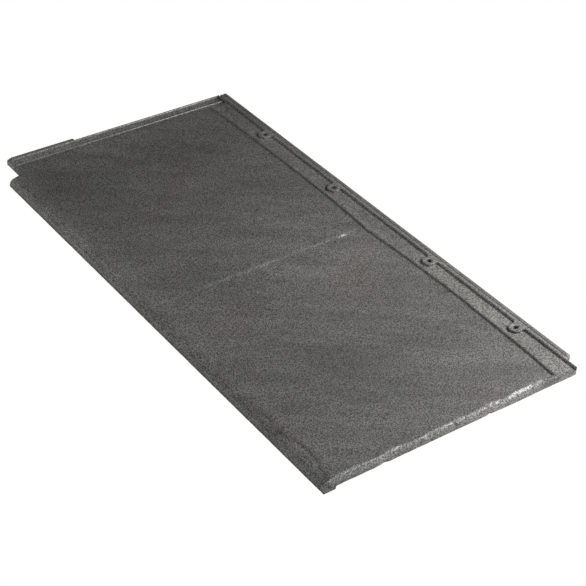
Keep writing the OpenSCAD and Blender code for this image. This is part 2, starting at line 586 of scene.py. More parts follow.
        # the joint wanders a little, and is shallower towards the tail
        joint = base - s.joint_x
        wander = 0.55 * self.wave.at(y, 7.0, 30.0) + 0.3 * self.chip.at(y, 15.0, 9.0)
        x = x + wander * np.exp(-((joint + 2.0) / 9.0) ** 2) * (y < s.strip_front)
        profile = np.interp(
            joint,
            [-5.6, -5.0, -4.1, -3.1, -2.1, -1.2, -0.6, 0.0, 0.25, 0.6],
            [0.0, -0.05, -0.28, -0.72, -1.2, -1.68, -1.8, -1.76, -0.9, 0.0],
        ) / 1.8
        depth = self.joint_depth * (0.5 + 0.5 * smooth(y, 20.0, 150.0)) * (
            1.0 - smooth(y, self.sizes.strip_front - 24.0, self.sizes.strip_front - 5.0)
        )
        depth = depth * (0.85 + 0.3 * self.chip.at(y, 88.0, 9.0))
        cut = s.plate_top + profile * depth
        z = np.where(face & (profile < 0.0), np.minimum(z, cut), z)
        # the right edge is dressed: a steep break, a shallower shelf, then the drop
        inner, outer = self.inner_edge(y), self.outer_edge(y)
        rising = smooth(base, s.edge_start - 9.0, s.edge_start)
        span = np.clip((base - s.edge_start) / (s.length - s.edge_start), 0.0, 1.0)
        fade = 1.0 - smooth(y, s.strip_front - 40.0, s.strip_front - 4.2)
        pulled = base + rising * (inner - s.edge_start) * fade * (1.0 - span)
        pulled = pulled + span * (outer - s.length)
        x = np.where(base > s.edge_start - 9.0, pulled, x)
        drop = self.edge_drop * np.interp(
            span, [0.0, 0.08, 0.18, 0.32, 0.5, 0.7, 0.88, 1.0],
            [0.0, 0.07, 0.24, 0.44, 0.56, 0.68, 0.82, 1.0]
        )
        facet = 0.5 * self.chip.at(x, y, 3.8) + 0.42 * self.fine.at(x, y, 2.1)
        drop = drop + facet * np.minimum(span * 5.0, 1.0) * (1.0 - 0.7 * span)
        cut = s.plate_top - np.clip(drop, 0.0, self.edge_drop) * fade
        z = np.where(face & (span > 0.0), np.minimum(z, cut), z)
        climb = smooth(y, s.strip_front - 26.0, s.strip_front - 5.5) * smooth(span, 0.05, 0.35)
        z = np.where(face & (span > 0.0), z + (s.strip_top - z) * climb, z)
        # the tail's flaked band ends in a ragged ledge with a crack at its foot
        line = self.flake_line(base)
        strong = smooth(base, 470.0, 540.0) * (0.75 + 0.25 * self.chip.at(base, 7.0, 14.0))
        weak = 0.35 * smooth(base, 40.0, 70.0) * (0.5 + 0.5 * self.wave.at(base, 70.0, 18.0))
        force = np.maximum(strong, weak)
        ledge = 0.6 * smooth(line - y, -0.2, 1.3)
        crack = 0.55 * np.exp(-(((y - line + 0.5) / 1.3) ** 2))
        on_face = face & (y > 1.0) & (base > s.nose_start + 1.0)
        z = np.where(on_face, z - (ledge + crack) * force, z)
        # ripples where the slate was riven, curved round the right corner
        radius = np.hypot(base - 628.0, (y - 18.0) * 0.8)
        ripple = 0.16 * np.sin(radius / 2.6 + 2.2 * self.wave.at(base, y, 22.0))
        near = np.exp(-((radius - 62.0) / 36.0) ** 2) * smooth(y, 12.0, 26.0)
        z = np.where(face & (relief[:, None] > 0.9), z + ripple * near, z)
        # the relief fades out on the underlap, in the joint and at the right edge
        share = relief[:, None] * smooth(base, 18.0, 22.0)
        share = share * (1.0 - 0.75 * (profile < -0.02) * inside) * (
            1.0 - 0.8 * smooth(span, 0.0, 0.3)
        )
        return x, z, share

    def mesh(self) -> Any:
        """Closes the lattice with its end walls and its plain underside.

        Returns:
            The closed mesh, with the relief's share as the attribute relief.
        """
        s = self.sizes
        x, y, z, share = self.lattice()
        rows, columns = x.shape
        points = [np.stack([x, y, z], axis=-1).reshape(-1, 3)]
        shares = [share.reshape(-1)]
        index = np.arange(rows * columns).reshape(rows, columns)
        a, b = index[:-1, :-1], index[:-1, 1:]
        c, d = index[1:, 1:], index[1:, :-1]
        faces: list[Any] = np.stack([a, b, c, d], axis=-1).reshape(-1, 4).tolist()
        total = rows * columns
        top, last = self.field_rows[0], rows - 2
        low: dict[str, list[int]] = {}
        for side, column in (("left", 0), ("right", columns - 1)):
            under = np.stack(
                [x[top:last, column], y[top:last, column], np.full(
                    last - top, s.underside
                )], axis=-1
            )
            points.append(under)
            shares.append(np.zeros(last - top))
            low[side] = list(range(total, total + last - top)) + [int(index[rows - 1, column])]
            total += last - top
            high = index[top : last + 1, column].tolist()
            for n in range(len(high) - 1):
                wall = [high[n], low[side][n], low[side][n + 1], high[n + 1]]
                faces.append(wall if side == "right" else wall[::-1])
            # the nose's end, a fan round a point inside its outline
            rim = index[: top + 1, column].tolist() + [low[side][0]]
            centre = np.array([[x[top, column], 15.6 if side == "left" else 10.0, 6.6]])
            points.append(centre)
            shares.append(np.zeros(1))
            for n in range(len(rim)):
                tri = [total, rim[n], rim[(n + 1) % len(rim)]]
                faces.append(tri[::-1] if side == "right" else tri)
            total += 1
        tail_edge = index[0, ::-1].tolist()
        head_edge = index[rows - 1, 1:-1].tolist()
        faces.append(tail_edge + low["left"] + head_edge + low["right"][::-1])
        mesh = new_mesh("slate_plate", np.concatenate(points), faces)
        relief = mesh.attributes.new("relief", "FLOAT", "POINT")
        relief.data.foreach_set("value", np.concatenate(shares).astype(np.float32))
        return mesh


@dataclass
class RivenRelief:
    """The slates' riven relief, moved into the plate's own mesh."""

    wave_height: float = 0.42
    wave_scale: float = 48.0
    grain_height: float = 0.75
    grain_scale: float = 370.0
    pit_height: float = 0.45
    pit_scale: float = 690.0
    stretch: float = 0.28
    turn: float = 0.62
    seed: float = 4.0

    def tree(self) -> TreeKit:
        """Builds the tree that lifts and sinks the points with seeded noise."""
        kit = TreeKit.group("riven_relief", "GeometryNodeTree")
        kit.socket("Geometry", "NodeSocketGeometry")
        for name in ("Wave Height", "Wave Scale", "Grain Height", "Grain Scale", "Pit Height",
                     "Pit Scale", "Stretch", "Turn", "Seed"):
            kit.socket(name, "NodeSocketFloat")
        kit.socket("Material", "NodeSocketMaterial")
        kit.socket("Geometry", "NodeSocketGeometry", into=False)
        source = kit.add("NodeGroupInput").outputs
        place = kit.add("GeometryNodeInputPosition").outputs[0]
        along = kit.add("ShaderNodeCombineXYZ", {0: 1.0, 1: source["Stretch"], 2: 1.0}).outputs[0]
        turned = kit.add(
            "ShaderNodeVectorRotate", {"Vector": place, "Angle": source["Turn"]}
        ).outputs[0]
        drawn = kit.add(
            "ShaderNodeVectorMath", {0: turned, 1: along}, operation="MULTIPLY"
        ).outputs[0]
        total: Any = None
        for name, vector, detail, rough, shift in (
            ("Wave", drawn, 3.0, 0.55, 0.0), ("Grain", place, 2.0, 0.6, 7.0), (
                "Pit", place, 1.0, 0.5, 13.0
            ),
        ):
            seed = kit.math("ADD", source["Seed"], shift)
            value = kit.add(
                "ShaderNodeTexNoise",
                {"Vector": vector, "W": seed, "Scale": source[name + " Scale"],
                 "Detail": detail, "Roughness": rough},
                noise_dimensions="4D",
            ).outputs[0]
            lift = kit.math("MULTIPLY", kit.math("SUBTRACT", value, 0.5), source[name + " Height"])
            total = lift if total is None else kit.math("ADD", total, lift)
        share = kit.add(
            "GeometryNodeInputNamedAttribute", {"Name": "relief"}, data_type="FLOAT"
        ).outputs[0]
        offset = kit.add("ShaderNodeCombineXYZ", {2: kit.math("MULTIPLY", total, share)}).outputs[0]
        moved = kit.add(
            "GeometryNodeSetPosition", {"Geometry": source["Geometry"], "Offset": offset}
        )
        real = kit.add("GeometryNodeRealizeInstances", {"Geometry": moved.outputs[0]})
        dressed = kit.add(
            "GeometryNodeSetMaterial", {"Geometry": real.outputs[0], "Material": source["Material"]}
        )
        kit.add("NodeGroupOutput", {"Geometry": dressed.outputs[0]})
        return kit

    def mesh(self, plate: Any, material: Any) -> Any:
        """Gives the plate's mesh its relief.

        Args:
            plate: Mesh with the attribute relief.
            material: Material of the plate.

        Returns:
            The displaced plain mesh.
        """
        values = {
            "Wave Height": self.wave_height * MM, "Wave Scale": self.wave_scale,
            "Grain Height": self.grain_height * MM, "Grain Scale": self.grain_scale,
            "Pit Height": self.pit_height * MM, "Pit Scale": self.pit_scale,
            "Stretch": self.stretch, "Turn": self.turn, "Seed": self.seed, "Material": material,
        }
        return evaluated("riven_plate", plate, self.tree(), values)


# ---------------------------------------------------------------- parts fused with the plate


@dataclass
class HeadRidge:
    """The raised ridge along the head with its drip groove, and the thin rib past its end."""

    sizes: TileSizes = SIZES
    pitch: float = 5.0
    uneven: Wander = Wander(53)
    ridge: tuple[tuple[float, float], ...] = (
        (293.9, 5.0), (293.9, 9.0), (292.55, 10.2), (292.6, 11.85), (292.95, 13.6), (293.2, 14.2),
        (293.7, 14.46), (294.5, 14.5), (296.3, 14.5), (296.75, 14.3), (297.1, 13.85), (297.4, 13.7),
        (297.7, 13.85), (298.05, 14.3), (298.5, 14.5), (300.6, 14.5), (301.4, 14.36), (
            301.85, 13.95
        ),
        (302.0, 13.3), (302.0, 0.7), (301.8, 0.2), (301.3, 0.0), (298.7, 0.0), (298.2, 0.2),
        (298.0, 0.7), (298.0, 5.0),
    )
    rib: tuple[tuple[float, float], ...] = (
        (293.9, 8.0), (292.55, 10.2), (292.6, 11.85), (292.95, 13.6), (293.2, 14.15), (293.6, 14.4),
        (294.2, 14.42), (294.6, 14.2), (294.78, 13.7), (294.78, 8.0),
    )

    turn: tuple[tuple[float, float], ...] = (
        (293.02, 8.0), (293.05, 10.8), (293.35, 11.24), (294.4, 11.24), (
            294.72, 10.9
        ), (294.77, 8.0),
    )
    turn_left: float = 3.8

    def bar(
        self, name: str, profile: tuple[tuple[float, float], ...], low: float, high: float
    ) -> Any:
        """Sweeps a profile along X, slightly uneven and drawn in at its ends.

        Args:
            name: Name of the mesh.
            profile: Y and Z of the profile's corners.
            low: X of its left end.
            high: X of its right end.

        Returns:
            The closed mesh.
        """
        outline = np.array(profile)
        middle = np.array([(outline[:, 0].min() + outline[:, 0].max()) / 2, 9.0])
        inner = np.linspace(low + 0.5, high - 0.5, max(3, round((high - low) / self.pitch)))
        stations = np.concatenate([[low, low + 0.15], inner, [high - 0.15, high]])
        points = []
        for number, x in enumerate(stations):
            ends = min(number, len(stations) - 1 - number)
            pull = {0: 0.86, 1: 0.95}.get(ends, 1.0)
            ring = middle + (outline - middle) * np.array([pull, 1.0])
            top = outline[:, 1] > 12.0
            sag = 0.10 * self.uneven.at(x, outline[:, 0] * 0.3, 21.0) - 0.10
            ring[:, 1] = ring[:, 1] + np.where(top, sag - (1.0 - pull) * 3.0, 0.0)
            front = (outline[:, 0] < 293.5) & (outline[:, 1] > 10.0)
            ring[:, 0] = ring[:, 0] + np.where(front, 0.14 * self.uneven.at(x, 60.0, 13.0), 0.0)
            points.append(np.column_stack([np.full(len(ring), x), ring]))
        size, count = len(outline), len(stations)
        faces: list[Any] = []
        for n in range(count - 1):
            for m in range(size):
                k = (m + 1) % size
                faces.append([n * size + m, n * size + k, (n + 1) * size + k, (n + 1) * size + m])
        faces.append(list(range(size))[::-1])
        faces.append([(count - 1) * size + m for m in range(size)])
        return outward(new_mesh(name, np.concatenate(points), faces))

    def meshes(self) -> list[Any]:
        """The ridge, the thin rib past it and the turn to the outer weather rib, as closed meshes."""
        s = self.sizes
        return [
            self.bar("head_ridge", self.ridge, s.ridge_left, s.ridge_right),
            self.bar("head_rib", self.rib, s.ridge_right - 6.0, s.length - 0.1),
            self.bar("head_turn", self.turn, self.turn_left, s.ridge_left + 1.5),
        ]


@dataclass
class WeatherRibs:
    """The two ribs of the underlap, swept by Geometry Nodes as rounded bars."""

    sizes: TileSizes = SIZES
    height: float = 1.8
    rounding: float = 0.55
    fade: float = 3.6
    ramp: float = 1.2
    bars: tuple[tuple[str, float, float, float, float], ...] = (
        ("outer_rib", 3.72, 6.0, 97.0, 294.6),
        ("wide_rib", 0.03, 6.0, 18.0, 99.0),
        ("inner_rib", 16.0, 18.3, 18.0, 290.7),
    )

    def tree(self) -> TreeKit:
        """Builds the tree that sweeps one rounded bar along Y."""
        kit = TreeKit.group("weather_rib", "GeometryNodeTree")
        kit.socket("Geometry", "NodeSocketGeometry")
        for name in ("Middle", "Width", "From", "To", "Base", "Top", "Rounding", "Fade", "Ramp"):
            kit.socket(name, "NodeSocketFloat")
        kit.socket("Material", "NodeSocketMaterial")
        kit.socket("Geometry", "NodeSocketGeometry", into=False)
        source = kit.add("NodeGroupInput").outputs
        height = kit.math("SUBTRACT", source["Top"], source["Base"])
        level = kit.math("MULTIPLY", kit.math("ADD", source["Top"], source["Base"]), 0.5)
        ends = [
            kit.add(
                "ShaderNodeCombineXYZ", {0: source["Middle"], 1: source[end], 2: level}
            ).outputs[0]
            for end in ("From", "To")
        ]
        path = kit.add("GeometryNodeCurvePrimitiveLine", {"Start": ends[0], "End": ends[1]})
        path = kit.add(
            "GeometryNodeResampleCurve",
            {"Curve": path.outputs[0], "Length": source["Fade"]}, mode="LENGTH"
        )
        outline = kit.add(
            "GeometryNodeCurvePrimitiveQuadrilateral", {"Width": source["Width"], "Height": height}
        )
        soft = kit.add(
            "GeometryNodeFilletCurve",
            {"Curve": outline.outputs[0], "Radius": source["Rounding"], "Count": 4, "Limit Radius": True},
            mode="POLY",
        )
        swept = kit.add(
            "GeometryNodeCurveToMesh",
            {"Curve": path.outputs[0], "Profile Curve": soft.outputs[0], "Fill Caps": True},
        )
        # the tail end of the bar ramps down to the plate
        split = kit.add(
            "ShaderNodeSeparateXYZ", {0: kit.add("GeometryNodeInputPosition").outputs[0]}
        ).outputs
        end = kit.math(
            "LESS_THAN", split[1], kit.math(
                "ADD", source["From"], kit.math("MULTIPLY", source["Fade"], 0.5)
            )
        )
        high = kit.math("GREATER_THAN", split[2], level)
        sink = kit.math(
            "MULTIPLY", kit.math("MULTIPLY", end, high), kit.math("MULTIPLY", source["Ramp"], -1.0)
        )
        down = kit.add("ShaderNodeCombineXYZ", {2: sink}).outputs[0]
        swept = kit.add("GeometryNodeSetPosition", {"Geometry": swept.outputs[0], "Offset": down})
        real = kit.add("GeometryNodeRealizeInstances", {"Geometry": swept.outputs[0]})
        dressed = kit.add(
            "GeometryNodeSetMaterial", {"Geometry": real.outputs[0], "Material": source["Material"]}
        )
        kit.add("NodeGroupOutput", {"Geometry": dressed.outputs[0]})
        return kit

    def meshes(self, material: Any) -> list[Any]:
        """Sweeps each bar.

        Args:
            material: Material of the bars.

        Returns:
            One closed mesh for each bar.
        """
        s, kit, made = self.sizes, self.tree(), []
        ox, oy, _ = s.origin()
        for name, left, right, low, high in self.bars:
            values = {
                "Middle": ((left + right) / 2 - ox) * MM, "Width": (right - left) * MM,
                "From": (low - oy) * MM, "To": (high - oy) * MM, "Base": (s.underside + 1.2) * MM,
                "Top": (s.plate_top + self.height) * MM, "Rounding": self.rounding * MM,
                "Fade": self.fade * MM, "Ramp": self.ramp * MM, "Material": material,
            }
            made.append(evaluated(name, bpy.data.meshes.new(name + "_start"), kit, values))
        return made


class NailPart(Enum):
    """What a run of the nail tree makes at each nail."""

    CLEARANCE = "clearance"
    WEB = "web"
    BOSS = "boss"
    SEAT = "seat"


@dataclass
class NailBosses:
    """Bosses with their holes and sunk seats, repeated along the nail strip."""

    sizes: TileSizes = SIZES
    boss_radius: float = 7.2
    hole_radius: float = 2.8
    seat_radius: float = 4.4
    seat_depth: float = 1.2
    web_radius: float = 3.0
    rounding: float = 0.65
    sides: int = 56

    def shape(self, kit: TreeKit, part: NailPart, source: Any) -> Any:
        """Adds the nodes of the shape that stands at each nail.

        Args:
            kit: Kit of the tree.
            part: Which shape to make.
            source: Outputs of the tree's input node.

        Returns:
            The socket with the shape, its foot at the origin.
        """
        if part is NailPart.WEB:
            return source["Geometry"]
        if part is NailPart.CLEARANCE:
            radius = kit.math("MULTIPLY", kit.math("ADD", source["Outer"], source["Inner"]), 0.5)
            tall = kit.math("ADD", source["Height"], 0.01)
            body = kit.add(
                "GeometryNodeMeshCylinder",
                {"Vertices": self.sides, "Radius": radius, "Depth": tall}
            )
            lift = kit.math("MULTIPLY", source["Height"], 0.5)
        elif part is NailPart.SEAT:
            body = kit.add(
                "GeometryNodeMeshCone",
                {"Vertices": self.sides, "Radius Top": source["Outer"], "Radius Bottom": source["Inner"],
                 "Depth": source["Height"]},
            )
            lift = kit.math(
                "SUBTRACT", self.sizes.ridge_top * MM, kit.math("MULTIPLY", source["Height"], 0.5)
            )
            lift = kit.math("ADD", lift, 0.00002)
        else:
            middle = kit.math("MULTIPLY", kit.math("ADD", source["Outer"], source["Inner"]), 0.5)
            wide = kit.math("SUBTRACT", source["Outer"], source["Inner"])
            ring = kit.add(
                "GeometryNodeCurvePrimitiveCircle", {"Resolution": self.sides, "Radius": middle}
            )
            wall = kit.add(
                "GeometryNodeCurvePrimitiveQuadrilateral",
                {"Width": wide, "Height": source["Height"]}
            )
            soft = kit.add(
                "GeometryNodeFilletCurve",
                {"Curve": wall.outputs[0], "Radius": source["Rounding"], "Count": 5, "Limit Radius": True},
                mode="POLY",
            )
            body = kit.add(
                "GeometryNodeCurveToMesh",
                {"Curve": ring.outputs[0], "Profile Curve": soft.outputs[0]}
            )
            lift = kit.math("MULTIPLY", source["Height"], 0.5)
        up = kit.add("ShaderNodeCombineXYZ", {2: lift}).outputs[0]
        return kit.add(
            "GeometryNodeTransform", {"Geometry": body.outputs[0], "Translation": up}
        ).outputs[0]

    def tree(self, part: NailPart) -> TreeKit:
        """Builds the tree that repeats one shape at every nail.

        Args:
            part: Which shape it repeats.
        """
        kit = TreeKit.group("nails_" + part.value, "GeometryNodeTree")
        kit.socket("Geometry", "NodeSocketGeometry")
        for name in (
            "First X", "Row Y", "Spacing", "Slate Pitch", "Outer", "Inner", "Height", "Rounding"
        ):
            kit.socket(name, "NodeSocketFloat")
        kit.socket("Material", "NodeSocketMaterial")
        kit.socket("Geometry", "NodeSocketGeometry", into=False)
        source = kit.add("NodeGroupInput").outputs
        start = kit.add(
            "ShaderNodeCombineXYZ", {0: source["First X"], 1: source["Row Y"]}
        ).outputs[0]
        slate_step = kit.add("ShaderNodeCombineXYZ", {0: source["Slate Pitch"]}).outputs[0]
        nail_step = kit.add("ShaderNodeCombineXYZ", {0: source["Spacing"]}).outputs[0]
        slates = kit.add(
            "GeometryNodeMeshLine", {"Count": 2, "Start Location": start, "Offset": slate_step}
        )
        pair = kit.add("GeometryNodeMeshLine", {"Count": 2, "Offset": nail_step})
        pairs = kit.add(
            "GeometryNodeInstanceOnPoints",
            {"Points": slates.outputs[0], "Instance": pair.outputs[0]}
        )
        spots = kit.add("GeometryNodeRealizeInstances", {"Geometry": pairs.outputs[0]})
        nails = kit.add(
            "GeometryNodeInstanceOnPoints",
            {"Points": spots.outputs[0], "Instance": self.shape(kit, part, source)},
        )
        real = kit.add("GeometryNodeRealizeInstances", {"Geometry": nails.outputs[0]})
        dressed = kit.add(
            "GeometryNodeSetMaterial", {"Geometry": real.outputs[0], "Material": source["Material"]}
        )
        kit.add("NodeGroupOutput", {"Geometry": dressed.outputs[0]})
        return kit

    def mesh(self, part: NailPart, material: Any) -> Any:
        """Makes one shape at all four nails.

        Args:
            part: Which shape to make.
            material: Material of the shapes.

        Returns:
            The plain mesh.
        """
        s = self.sizes
        ox, oy, _ = s.origin()
        slope = (self.seat_radius - self.hole_radius) / self.seat_depth
        outer = {NailPart.SEAT: self.seat_radius + slope * 0.1}.get(part, self.boss_radius)
        inner = {NailPart.SEAT: self.hole_radius - slope * 0.1}.get(part, self.hole_radius)
        height = {NailPart.SEAT: self.seat_depth + 0.2}.get(part, s.ridge_top - 0.02)
        values = {
            "First X": (s.first_nail() - ox) * MM, "Row Y": (s.nail_y - oy) * MM,
            "Spacing": s.nail_spacing * MM, "Slate Pitch": s.slate_width * MM,
            "Outer": outer * MM, "Inner": inner * MM, "Height": height * MM,
            "Rounding": self.rounding * MM, "Material": material,
        }
        start = self.web_start() if part is NailPart.WEB else bpy.data.meshes.new("nails_start")
        return evaluated("nails_" + part.value, start, self.tree(part), values)

    def web_start(self) -> Any:
        """Makes the web that runs from one boss into the ridge, as a closed prism round the origin."""
        s, r = self.sizes, self.web_radius
        reach = s.ridge_front - s.nail_y
        middle = math.sqrt((self.boss_radius + r) ** 2 - (reach - r) ** 2)
        turns = np.linspace(0.5 * math.pi, 0.0, 9)
        left = np.column_stack([-middle + r * np.cos(turns), reach - r + r * np.sin(turns)])
        right = left[::-1] * np.array([-1.0, 1.0])
        outline = np.vstack([[(-middle, reach + 0.9)], left, right, [(middle, reach + 0.9)]])
        return prism("web_start", outline + np.array(s.origin()[:2]), 6.0, s.ridge_top - 0.08)


def fused(name: str, base: Any, steps: list[tuple[Any, str]]) -> Any:
    """Joins and cuts closed meshes into one shell.

    Args:
        name: Name of the result.
        base: Mesh that the steps work on.
        steps: Mesh and boolean operation of each step, in order.

    Returns:
        The plain mesh.
    """
    holder = bpy.data.objects.new(name + "_base", base)
    bpy.context.collection.objects.link(holder)
    helpers = []
    for number, (mesh, operation) in enumerate(steps):
        helper = bpy.data.objects.new(f"{name}_step_{number}", mesh)
        bpy.context.collection.objects.link(helper)
        helpers.append(helper)
        modifier = holder.modifiers.new(helper.name, "BOOLEAN")
        modifier.operation = operation
        modifier.solver = "MANIFOLD"
        modifier.object = helper
    graph = bpy.context.evaluated_depsgraph_get()
    made = bpy.data.meshes.new_from_object(holder.evaluated_get(graph))
    made.name = name
    for item in [holder, *helpers]:
        bpy.data.objects.remove(item)
    return welded(made)


# ---------------------------------------------------------------- finishes


class Effects:
    """Shader node groups that both finishes share."""

    def __init__(self) -> None:
        """Builds each group once."""
        self.grain = self.grain_group()
        self.streaks = self.streak_group()
        self.rub = self.ragged_dressing_and_highlight_group()

    def grain_group(self) -> Any:
        """Speckle of the moulded grain: a tone and a height from two sizes of noise."""
        kit = TreeKit.group("moulded_grain", "ShaderNodeTree")
        kit.socket("Vector", "NodeSocketVector")
        kit.socket("Coarse Scale", "NodeSocketFloat", value=760.0)
        kit.socket("Fine Scale", "NodeSocketFloat", value=1350.0)
        kit.socket("Tone", "NodeSocketFloat", into=False)
        kit.socket("Height", "NodeSocketFloat", into=False)
        source = kit.add("NodeGroupInput").outputs
        coarse = kit.noise(source["Vector"], 1.0, 1.0, 0.5, 2.0)
        kit.put(coarse.node.inputs["Scale"], source["Coarse Scale"])
        fine = kit.noise(source["Vector"], 1.0, 2.0, 0.6, 9.0)
        kit.put(fine.node.inputs["Scale"], source["Fine Scale"])
        both = kit.math("ADD", kit.math("MULTIPLY", coarse, 0.6), kit.math("MULTIPLY", fine, 0.4))
        tone = kit.ramp(both, 0.37, 0.63)
        height = kit.math(
            "ADD", kit.math("MULTIPLY", coarse, 0.65), kit.math("MULTIPLY", fine, 0.35)
        )
        kit.add("NodeGroupOutput", {"Tone": tone, "Height": height})
        return kit.tree

    def streak_group(self) -> Any:
        """Broad cloudy bands drawn out up the slate."""
        kit = TreeKit.group("riven_streaks", "ShaderNodeTree")
        kit.socket("Vector", "NodeSocketVector")
        kit.socket("Scale", "NodeSocketFloat", value=46.0)
        kit.socket("Seed", "NodeSocketFloat", value=3.0)
        kit.socket("Turn", "NodeSocketFloat", value=0.62)
        kit.socket("Tone", "NodeSocketFloat", into=False)
        kit.socket("Tint", "NodeSocketFloat", into=False)
        source = kit.add("NodeGroupInput").outputs
        turned = kit.add(
            "ShaderNodeVectorRotate", {"Vector": source["Vector"], "Angle": source["Turn"]}
        ).outputs[0]
        drawn = kit.add(
            "ShaderNodeVectorMath", {0: turned, 1: (1.0, 0.24, 1.0)}, operation="MULTIPLY"
        ).outputs[0]
        bands = kit.noise(drawn, 1.0, 5.0, 0.6, 0.0)
        kit.put(bands.node.inputs["Scale"], source["Scale"])
        kit.put(bands.node.inputs["W"], source["Seed"])
        patch = kit.noise(source["Vector"], 9.0, 3.0, 0.5, 0.0)
        kit.put(patch.node.inputs["W"], kit.math("ADD", source["Seed"], 5.0))
        tone = kit.ramp(bands, 0.3, 0.7)
        tint = kit.ramp(patch, 0.45, 0.68)
        kit.add("NodeGroupOutput", {"Tone": tone, "Tint": tint})
        return kit.tree

    def ragged_dressing_and_highlight_group(self) -> Any:
        """Breaks a mask up so that it looks ragged, for the dressed edges and for the painted highlights."""
        kit = TreeKit.group("rubbed_edge", "ShaderNodeTree")
        kit.socket("Vector", "NodeSocketVector")
        kit.socket("Mask", "NodeSocketFloat", value=0.0)
        kit.socket("Scale", "NodeSocketFloat", value=260.0)
        kit.socket("Amount", "NodeSocketFloat", into=False)
        source = kit.add("NodeGroupInput").outputs
        chips = kit.noise(source["Vector"], 1.0, 3.0, 0.65, 6.0)
        kit.put(chips.node.inputs["Scale"], source["Scale"])
        ragged = kit.math("ADD", source["Mask"], kit.math("SUBTRACT", chips, 0.5))
        amount = kit.math(
            "MULTIPLY", kit.ramp(ragged, 0.3, 0.75), kit.ramp(source["Mask"], 0.02, 0.3)
        )
        kit.add("NodeGroupOutput", {"Amount": amount})
        return kit.tree


@dataclass(frozen=True)
class SlateFinish:
    """Matt mineral grey of the riven slates and their dressed edges."""

    name: str = "riven_slate"
    dark: tuple[float, float, float] = (0.0535, 0.0528, 0.0500)
    light: tuple[float, float, float] = (0.079, 0.078, 0.0742)
    warm: tuple[float, float, float] = (0.074, 0.064, 0.058)
    dressed: tuple[float, float, float] = (0.106, 0.105, 0.098)
    # light grey of the painted highlights on the right edge's break and in the joint
    painted_highlight_grey: tuple[float, float, float] = (0.24, 0.24, 0.23)
    speckle: tuple[float, float] = (0.26, 1.74)
    grain_depth: float = 0.0006
    roughness: tuple[float, float] = (0.50, 0.68)

    def material(self, effects: Effects) -> Any:
        """Builds the material.

        Args:
            effects: The shared node groups.

        Returns:
            The material.
        """
        made = bpy.data.materials.new(self.name)
        made.use_nodes = True
        kit = TreeKit(made.node_tree)
        shader = made.node_tree.nodes["Principled BSDF"]
        place = kit.add("ShaderNodeTexCoord").outputs["Object"]
        grain = kit.add("ShaderNodeGroup", node_tree=effects.grain)
        kit.put(grain.inputs["Vector"], place)
        streaks = kit.add("ShaderNodeGroup", node_tree=effects.streaks)
        kit.put(streaks.inputs["Vector"], place)
        dress = kit.add("ShaderNodeAttribute", attribute_name="dressing").outputs["Fac"]
        painted_highlight = kit.add("ShaderNodeAttribute", attribute_name="painted_highlight").outputs["Fac"]
        ragged = kit.add(
            "ShaderNodeGroup", {"Vector": place, "Mask": dress, "Scale": 330.0},
            node_tree=effects.rub
        )
        bright = kit.add(
            "ShaderNodeGroup", {"Vector": place, "Mask": painted_highlight, "Scale": 210.0},
            node_tree=effects.rub
        )
        colour = kit.mix(streaks.outputs["Tone"], (*self.dark, 1.0), (*self.light, 1.0))
        warmth = kit.math("MULTIPLY", streaks.outputs["Tint"], 0.4)
        colour = kit.mix(warmth, colour, (*self.warm, 1.0))
        colour = kit.mix(
            kit.math("MULTIPLY", ragged.outputs["Amount"], 0.7), colour, (*self.dressed, 1.0)
        )
        # painted highlights: where the highlight mask is high the colour is mixed towards a light grey
        colour = kit.mix(
            kit.math("MULTIPLY", bright.outputs["Amount"], 0.8), colour, (*self.painted_highlight_grey, 1.0)
        )
        # broad tone patches with painted light and shade scale the speckle's tone
        tone_and_painted_light = kit.add("ShaderNodeAttribute", attribute_name="tone_and_painted_light").outputs["Fac"]
        shade = kit.math(
            "MULTIPLY", kit.ramp(grain.outputs["Tone"], 0.0, 1.0, *self.speckle), tone_and_painted_light
        )
        colour = kit.mix(
            1.0, colour, kit.add(
                "ShaderNodeCombineColor", {0: shade, 1: shade, 2: shade}
            ).outputs[0], "MULTIPLY"
        )
        kit.put(shader.inputs["Base Color"], colour)
        low, high = self.roughness
        rough = kit.ramp(grain.outputs["Tone"], 0.0, 1.0, high, low)
        rough = kit.math(
            "SUBTRACT", rough, kit.math("MULTIPLY", bright.outputs["Amount"], 0.16), clamp=True
        )
        kit.put(shader.inputs["Roughness"], rough)
        bump = kit.add(
            "ShaderNodeBump",
            {"Height": grain.outputs["Height"], "Strength": 0.8, "Distance": self.grain_depth}
        )
        kit.put(shader.inputs["Normal"], bump.outputs[0])
        shader.inputs["Specular IOR Level"].default_value = 0.42
        return made


